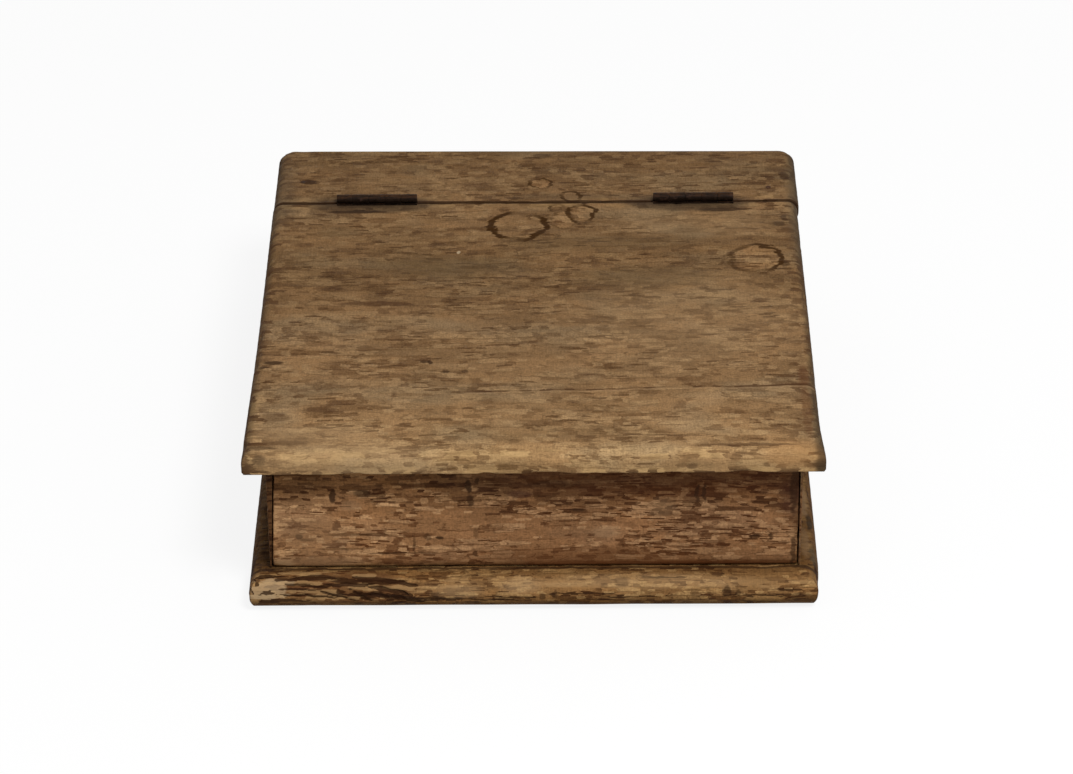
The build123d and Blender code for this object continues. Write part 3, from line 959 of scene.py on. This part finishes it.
# The splintered stretch of the base board's nose. Its flakes and hollows are given by their
# place along the nose and round it, and by half their length and breadth.
SPLINTERED = -112, 9.5, 0, 40, 11, 9
END_FLAKES = ((-155, 11, 13, 6.6), (-160, 15.5, 6, 2.2))
FLAKES = (
    (-138, 0.2, 14, 1.6), (-119, 4.6, 7, 1.8), (-101, 2.1, 6, 1.6), (-127, 16.5, 6, 2.2),
    (-99, 9.4, 11, 2.3), (-131, 12, 11, 1.7), (-136, 7, 10, 1.4), (-120, 15.4, 7, 2.8),
    (-79, 10, 7, 1.9), (-87, 18, 1.5, 1.8), (-93, 12, 1.5, 1.6), (-106, 17, 11, 1.3),
)
HOLLOWS = (
    (-160, 2.6, 8, 1.2), (-147, 5, 8, 1.3), (-166.5, 9, 1.1, 7), (-131, 3.8, 12, 1.7),
    (-138, 10.2, 9, 1.0), (-157, 13, 4.5, 1.1), (-152, 18.8, 16, 1.7), (-108, 5.8, 14, 1.5),
    (-90, 6, 16, 1.8), (-92, 14.4, 9, 2.8), (-79, 16, 9, 2.2), (-115, 12.5, 6, 2.0),
    (-124, 8.6, 9, 0.9), (-100, 14, 8, 1.3), (-60, 17.8, 25, 1.4), (-14, 16.6, 16, 0.8),
    (26, 14.2, 20, 0.8), (58, 16.8, 18, 0.7), (72, 4.6, 12, 0.6), (132, 16.4, 20, 0.9),
    (148, 12.6, 9, 0.8),
)
NOSE_MARKS = (
    (END_FLAKES, srgb(184, 156, 119), 0.54),
    (FLAKES, srgb(158, 124, 82), 0.66),
    (HOLLOWS, srgb(44, 22, 6), 0.85),
)
CRACK_Y, CRACK_RISE, CRACK_START = -108.4, 0.029, -55.0  # at x = 0, its slope and its end


def away_from(place, centre, radii):
    """Distance from a centre in units of the radii."""
    units = tuple(1 / radius for radius in radii)
    shift = tuple(-part / radius for part, radius in zip(centre, radii))
    return place.sum("MULTIPLY_ADD", units, shift).length()


def blot(mat, place, *spot):
    """Stains one spot."""
    *sizes, tint, strength, soft = spot
    away = away_from(place, sizes[:3], sizes[3:])
    mat.tint(away.ramp(1.0 - soft, 1.0 + soft, strength, 0.0), tint)


def water_ring(mat, place, patchy, ring):
    """An uneven dark line round a slightly paler inside."""
    centre, radii, width, strength, pale, heavy, other = ring
    centre = (*centre, TOP_Z)
    away = away_from(place, centre, (*radii, TOP))
    mat.shade(away.ramp(0.75, 1.0, pale, 1.0))
    aside = (place - centre).sum("DOT_PRODUCT", heavy, output="Value")
    aside = aside.sum("MAXIMUM", aside * -other)
    weight = (aside * (0.5 / radii[0]) + patchy).ramp(0.52, 0.80, 0.38, 1.0)
    share = width / radii[0]
    line = abs(away - 1.0).ramp(share * 0.5, share, strength, 0.0)
    mat.tint(line * weight, RING_DARK)


def lid_crack(mat, place, small):
    """A fine crack from the lid's right end, with a pale lip in front."""
    x, y, z = place.split()
    waver = mat.noise(place, (25, 60, 60))
    line = waver * 4.0 + (x * -CRACK_RISE + y - (CRACK_Y + 2.0))
    window = x.ramp(CRACK_START, CRACK_START + 25) * z.ramp(104, 107)
    window = window * small.ramp(0.2, 0.4, 0.35, 1.0)
    mat.tint(abs(line + 1.6).ramp(0.5, 1.4, 0.22, 0.0) * window, BLEACHED)
    mat.tint(abs(line).ramp(0.55, 1.05, 0.85, 0.0) * window, UMBER)


def top_stains_and_painted_light(mat, place, rough, values):
    """Lid and rail: tones, partly a painted highlight on the lid's front nose; rims darkened,
    painted shade; knocks, stained spots and water rings.
    """
    blotch, medium, small = values
    across, depth, height = place.split()
    # On the lid's front rows the level is partly paler wood, partly a painted highlight on the
    # nose.
    mat.shade(mat.profile(depth, TOP_LEVELS))
    beside = abs(across)
    # The side rims darken: painted shade.
    mat.shade(beside.ramp(160.0, 164.5, 1.0, 0.55))
    mat.tint(beside.ramp(145.0, 163.0, 0.0, 0.6) * small.ramp(0.66, 0.70), UMBER)
    chipped = height.ramp(97.8, 100.4, 0.75, 0.0) * small.ramp(0.64, 0.66)
    mat.tint(chipped * mat.normal()[2].ramp(-0.97, -0.75), UMBER)
    for spot in (*LID_SPOTS, *RAIL_SPOTS):
        blot(mat, rough, *top(*spot))
    for sign, (x, y, *sizes, strength, soft) in itertools.product(SIDES.values(), HINGE_STAINS):
        stain = sign * hinge_x + x, joint_y + y, *sizes, IRON_STAIN, strength, soft
        blot(mat, rough, *top(*stain))
    wild = rough + (rough - place)
    for ring in TOP_RINGS:
        water_ring(mat, wild, blotch, ring)
    seam = medium * 1.2 + abs(depth - joint_y)
    mat.tint(seam.ramp(2.0, 2.9, 0.85, 0.0), BROWN)
    lid_crack(mat, place, small)


def front_stains_and_painted_shade(mat, place, rough, values):
    """Front and back: darker under the lid and along the foot, painted shade with some grime, and
    stained spots.
    """
    _, medium, small = values
    x, y, z = place.split()
    face = abs(y).ramp(155.0, 160.0)
    # The levels darken the band under the lid's overhang and the foot: painted shadow, partly
    # grime; the PANEL_SHADE dabs deepen the same painted shadow.
    stepped = (medium * 10.0 + (small * 8.0 - 9.0)) * z.ramp(40.0, 62.0) + z
    level = mat.profile(stepped, PANEL_LEVELS)
    level = mat.mix(1.0, level, mat.profile(x, PANEL_SIDE_LEVELS), "MULTIPLY")
    mat.shade(mat.mix(face, (0.9, 0.9, 0.9, 1.0), level))
    shade = z.ramp(60.0, 74.0, 0.0, 0.48) * face
    for value in (medium, small):
        mat.tint(shade * value.ramp(0.76, 0.78), PANEL_SHADE)
    for spot in FRONT_SPOTS:
        blot(mat, rough, *front(*spot))


def side_stains_and_painted_light(mat, place, rough, values):
    """Side boards: a dark left lip and a lighter right one, painted shade and painted light; darker
    above and below, painted shade with some grime.
    """
    x, y, z = place.split()
    # Darker under the lid and at the foot: painted shade, partly grime. Across: the left board
    # dark, most at its lip, the right lip lighter: painted shade and painted light.
    mat.shade(mat.profile(z, SIDE_LEVELS))
    mat.shade(mat.profile(x, SIDE_X_LEVELS))
    for spot in SIDE_SPOTS:
        blot(mat, rough, *spot)


def splinters(mat, rough, medium, small):
    """The split nose: dark hollows between pale flakes."""
    x, y, z = rough.split()
    turn = ((y + 168.0) * -1.0).sum("ARCTAN2", z - 11.0)
    along = medium * 9.0 + (x - 4.5)
    nose = mat.put("CombineXYZ", (along, turn * 10.5 + (small * 1.6 - 0.8)))
    blot(mat, nose, *SPLINTERED, RUSSET, 0.6, 0.15)
    for marks, tint, strength in NOSE_MARKS:
        for *centre, length, breadth in marks:
            blot(mat, nose, *centre, 0, length, breadth, 9, tint, strength, 0.08)


def base_stains_and_painted_shade(mat, place, rough, values):
    """Base board: darker underneath; painted shade on the nose's lower half, on the top beside the
    box and along the feet of the front and back boards, there partly dirt; pale along the nose.
    """
    _, medium, small = values
    x, y, z = place.split()
    below = mat.normal()[2].ramp(-0.95, -0.6, 1.0, 0.0)
    # Faces that look down are darker wood; elsewhere the levels darken the nose's lower half and
    # the flat top: painted shade.
    mat.shade(mat.mix(below, mat.profile(z, BASE_LEVELS), (0.6, 0.58, 0.55, 1)))
    splinters(mat, rough, medium, small)
    # The top beside the box darkens, the left side most: painted shadow of the box and lid.
    behind = y.ramp(-170.0, -164.0)
    mat.shade(mat.mix(behind, WHITE, mat.profile(x, BASE_SIDE_LEVELS)))
    # A dark line where the front and back boards meet the top: painted shade in the crease, partly
    # dirt.
    away = abs(rough.split()[1])
    mat.tint(away.ramp(162.8, 163.4) * away.ramp(164.8, 166.2, 0.8, 0.0), BROWN)
    for spot in BASE_SPOTS:
        blot(mat, rough, *spot)


# --- oak
# Levels by millimetres: y on the top, z on the other boards, x across the front board.
# The front rows are raised partly for paler wood, partly as a painted highlight on the nose.
TOP_LEVELS = (
    (-176, 1.50), (-170, 1.54), (-160, 1.38), (-145, 1.25), (-100, 1.08), (-40, 0.97), (10, 0.78),
    (45, 0.75), (75, 0.86), (100, 0.92), (120, 0.88), (150, 0.80), (176, 0.70),
)
# The front and back boards darken under the lid's overhang and towards the foot: painted shadow,
# partly grime.
PANEL_LEVELS = (
    (22, 0.24), (24.5, 0.38), (27, 0.92), (31, 1.10), (60, 1.06), (66, 0.84), (80, 0.56),
    (92, 0.42), (96, 0.3),
)
PANEL_SIDE_LEVELS = ((-152, 1.54), (-90, 1.42), (-20, 1.06), (60, 1.02), (150, 1.02), (153, 0.65))
# Side boards darker under the lid and at the foot: painted shade, partly grime.
SIDE_LEVELS = ((22, 0.35), (26, 0.8), (80, 1.0), (96, 0.55))
# Across the side boards: the left board dark, most at its lip, and the right lip lighter: painted
# shade and painted light.
SIDE_X_LEVELS = ((-156, 0.50), (-148, 0.72), (-140, 0.9), (140, 0.9), (151, 1.2), (156, 0.86))
# The base darkens down the nose and on its flat top: painted shade.
BASE_LEVELS = ((0, 0.24), (6, 0.34), (9, 0.68), (12, 1.0), (17, 1.0), (20, 0.9), (22, 0.72))
# Beside the box the base's top darkens, the left side most: painted shadow.
BASE_SIDE_LEVELS = ((-168, 0.30), (-155, 0.30), (-145, 1.0), (150, 1.0), (156, 0.46), (168, 0.46))
# Middle, dark, pale, faded, worn edge, dirt.
TOP_TONES, BODY_TONES, BASE_TONES = (
    tuple(srgb(*tone) for tone in tones) for tones in (
        ((124, 94, 62), (74, 48, 25), (158, 126, 88), (130, 107, 78), (168, 134, 90), (50, 32, 17)),
        ((132, 93, 60), (74, 42, 20), (168, 128, 90), (133, 99, 70), (150, 113, 78), (34, 18, 8)),
        ((135, 98, 58), (70, 40, 16), (178, 141, 92), (142, 111, 70), (175, 138, 93), (46, 25, 10)),
    )
)
TOP_DAB, BODY_DAB = (16.0, 5.4), (12.5, 3.2)
# Strength of the dark dabs, their share of all dabs, and the same for the pale ones: large,
# medium and small dabs.
DAB_LAYERS = ((0.22, 0.12, 0.25, 0.12), (0.45, 0.11, 0.36, 0.13), (0.50, 0.13, 0.42, 0.14))
SOFT = 0.01  # half the soft step in a dab's random value


def grain_place(mat, place, along_y):
    """The place with its first part along the grain, which wavers a little."""
    if along_y:
        x, y, z = place.split()
        place = mat.put("CombineXYZ", (y, x, z))
    drift = mat.noise(place, (110, 60, 60), 1.0, output="Color") - (0.5, 0.5, 0.5)
    return drift.sum("MULTIPLY_ADD", (0, 9.0, 9.0), place)


def end_grain(mat, places, tones, along_y):
    """Growth rings in place of dabs where a board's end shows."""
    side, up, fine = places
    ends = abs(mat.normal()[1 if along_y else 0]).ramp(0.55, 0.85)
    radius = fine * 1.6 + mat.put("CombineXYZ", (side * 0.25, up + 30.0)).length()
    rings = mat.noise(mat.put("CombineXYZ", (radius,)), (1.5, 1, 1), 1.0)
    cut = mat.mix(rings.ramp(0.36, 0.60), *tones)
    mat.tint(ends, mat.mix(1.0, cut, fine.ramp(0.35, 0.65, 0.72, 0.95), "MULTIPLY"))


def dabbed(mat, layers, hair, busy, tones, contrast):
    """Dark and pale dabs, hairlines (returned) and the dabs' dark edges."""
    dark, pale = tones
    for (value, _, _), (strength, share, _, _) in zip(layers, DAB_LAYERS):
        low, high = 1.0 - share - SOFT, 1.0 - share + SOFT
        mat.tint((value - busy).ramp(low, high, 0.0, strength * contrast), dark)
    for (value, _, _), (_, _, strength, share) in zip(layers, DAB_LAYERS):
        mat.tint((value + busy).ramp(share - SOFT, share + SOFT, strength * contrast, 0.0), pale)
    hairlines = (hair - busy).ramp(0.955, 0.965, 0.0, 0.72 * contrast)
    mat.tint(hairlines, dark)
    for value, across, along in (layers[1], layers[0]):
        edged = (value + busy).ramp(0.22, 0.24, 0.42 * contrast, 0.0)
        end = along.ramp(0.06, 0.09, 0.9, 0.0)
        mat.tint(edged * across.ramp(0.10, 0.22, 1.0, 0.0).sum("MAXIMUM", end), dark)
    return hairlines


def oak(name, tones, dab, contrast, stains_and_painted_light, crest=110.0, along_y=False):
    """Dry weathered oak in blunt-ended dabs of about that length and breadth. crest is the
    height of its upper face."""
    middle, dark, pale, faded, worn, dirt = tones
    mat = Shader(bpy.data.materials.new(name))
    place = mat.place()
    grain = grain_place(mat, place, along_y)
    along, side, up = grain.split()
    # Behind the middle the height counts downward, so that the dabs wrap both noses alike.
    behind = side.sum("GREATER_THAN", 0.0)
    across = side + (up + behind * (up * -2.0 + 2.0 * crest))
    ragged = mat.noise(grain, (12, 3.0, 3.0), 2.0, 0.6, "Color")
    lengthwise, breadthwise, depthwise = ragged.split()
    wobble = (lengthwise * 0.9, breadthwise * 0.85)
    fine = mat.noise(grain, (5, 1.3, 1.3), 1.0)
    fine_wobble = (fine * 1.2, depthwise)
    blotch = mat.noise(grain, (46, 22, 22), 3.0, 0.6)
    *layers, (hair, _, _) = [
        mat.dabs(along, across, (long * dab[0], broad * dab[1]), waver)
        for long, broad, waver in (
            (1.8, 1.6, wobble), (1, 1, wobble), (0.36, 0.6, fine_wobble), (0.55, 0.28, fine_wobble)
        )
    ]
    medium, small = layers[1][0], layers[2][0]
    bleached = mat.noise(grain, (70, 34, 34)).ramp(0.50, 0.68, 0.0, 0.6)
    mat.colour = mat.mix(bleached, middle, faded)
    mat.shade(blotch.ramp(0.34, 0.66, 0.84, 1.16))
    for value, _, _ in layers:
        mat.shade(value * 0.14 + 0.93)
    busy = mat.noise(grain, (40, 22, 22)) * 0.55 - 0.275
    hairlines = dabbed(mat, layers, hair, busy, (dark, pale), contrast)
    fibre = mat.noise(grain, (8, 0.5, 0.5), 2.0, 0.7)
    weave = mat.noise(grain, (1, 5, 5), 1.0)
    grit = mat.noise(place, (1.1, 1.1, 1.1), 1.0)
    for value, change in ((fibre, 0.05), (weave, 0.08), (grit, 0.13)):
        mat.shade(value.ramp(0.3, 0.7, 1.0 - change, 1.0 + change))
    pores = mat.noise(grain, (4, 0.5, 0.5), 1.0).ramp(0.62, 0.70)
    mat.tint(pores * 0.35, dark)

    edge = mat.mark("edge")
    mat.tint(edge * blotch.ramp(0.40, 0.60, 0.30, 0.0), worn)
    mat.tint(edge * small.ramp(0.82, 0.84, 0.0, 0.6), dark)
    mat.tint(edge * medium.ramp(0.20, 0.22, 0.5, 0.0), worn)
    end_grain(mat, (side, up, fine), (dark, middle), along_y)
    jitter = mat.put("CombineXYZ", (medium, small, 0.5)) * (1.2, 1.2, 0) - (0.6, 0.6, 0)
    rough = place + (ragged * (3.0, 3.0, 3.0) - (1.5, 1.5, 1.5) + jitter)
    # The stain functions also paint shade and highlights into the colour.
    stains_and_painted_light(mat, place, rough, (blotch, medium, small))
    mat.tint((small * 0.35 + mat.mark("split")).ramp(0.72, 0.90) * 0.8, dirt)

    roughness = mat.noise(grain, (18, 3, 3), 1.0).ramp(0.3, 0.7, 0.68, 0.9)
    height = pores * -0.5 + fibre * 0.5 + hairlines * -0.4 + medium * 0.25
    return mat.finish(roughness, height, 0.3)


# --- iron
# Paler iron on the upward faces: wear from handling, partly a painted highlight.
RUBBED_IRON_AND_HIGHLIGHT = srgb(64, 40, 22)


def iron(name, base, rust, rust_share, metallic):
    """Old iron: near-black scale with rust in its hollows."""
    mat = Shader(bpy.data.materials.new(name))
    place = mat.place()
    scale = mat.noise(place, (1.6, 1.6, 1.6), 4.0, 0.6)
    patch = mat.noise(place, (7, 5, 5), 3.0, 0.6)
    mat.colour = mat.mix(patch.ramp(0.64 - rust_share, 0.74 - rust_share), base, rust)
    # Upward faces paler in patches: worn iron and a painted highlight along the knuckles' tops.
    rubbed_and_highlit = mat.noise(place, (9, 1.2, 1.2)).ramp(0.40, 0.56, 0.05, 0.5)
    mat.tint(rubbed_and_highlit * mat.normal()[2].ramp(0.35, 0.70), RUBBED_IRON_AND_HIGHLIGHT)
    mat.shade(scale.ramp(0.3, 0.7, 0.7, 1.35))
    return mat.finish(scale.ramp(0.35, 0.65, 0.42, 0.7), scale, 0.12, metallic, 0.05)


def paint_node(node, material):
    """Gives a CAD node a material, in its object's own slots."""
    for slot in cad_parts[node].material_slots:
        slot.link = "OBJECT"
        slot.material = material


# --- the scene
bpy.context.scene.view_settings.view_transform = "Standard"
make_camera()
make_world()
make_lamp()
make_floor()

top_oak = oak("top_oak", TOP_TONES, TOP_DAB, 1.0, top_stains_and_painted_light)
panel_oak = oak("panel_oak", BODY_TONES, BODY_DAB, 1.5, front_stains_and_painted_shade)
side_oak = oak("side_oak", BODY_TONES, BODY_DAB, 1.3, side_stains_and_painted_light, along_y=True)
base_oak = oak("base_oak", BASE_TONES, BODY_DAB, 1.4, base_stains_and_painted_shade, crest=22.0)
hinge_iron = iron("hinge_iron", srgb(28, 19, 13), srgb(50, 35, 28), 0.10, 0.0)
nail_iron = iron("nail_iron", srgb(36, 28, 24), srgb(70, 46, 32), 0.25, 0.3)

lid = make_top("lid", "lid", "lid", 1, lid_field, lid_wear, 9.0, 0.75)
rail = make_top("rail", "box", "top_rail", -1, rail_field, rail_wear, 12.0, 0.8, rail_heads)
pieces = [(lid, top_oak), (rail, top_oak), (make_base(), base_oak)]
pieces.append((make_end("front_plank", "front_board", 41), panel_oak))
pieces.append((make_end("back_plank", "back_board", 51), panel_oak))
for side, sign in SIDES.items():
    pieces.append((make_side(f"{side}_plank", f"{side}_side", sign, 61 + 10 * sign), side_oak))
    for kind in ("rail", "lid"):
        pieces.append((make_leaf(side, sign, kind, 81 + 10 * sign), hinge_iron))
for piece, material in pieces:
    piece.data.materials.append(material)
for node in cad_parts:
    if "pin" in node:
        paint_node(node, hinge_iron)
    elif "nails" in node or "screws" in node:
        paint_node(node, nail_iron)
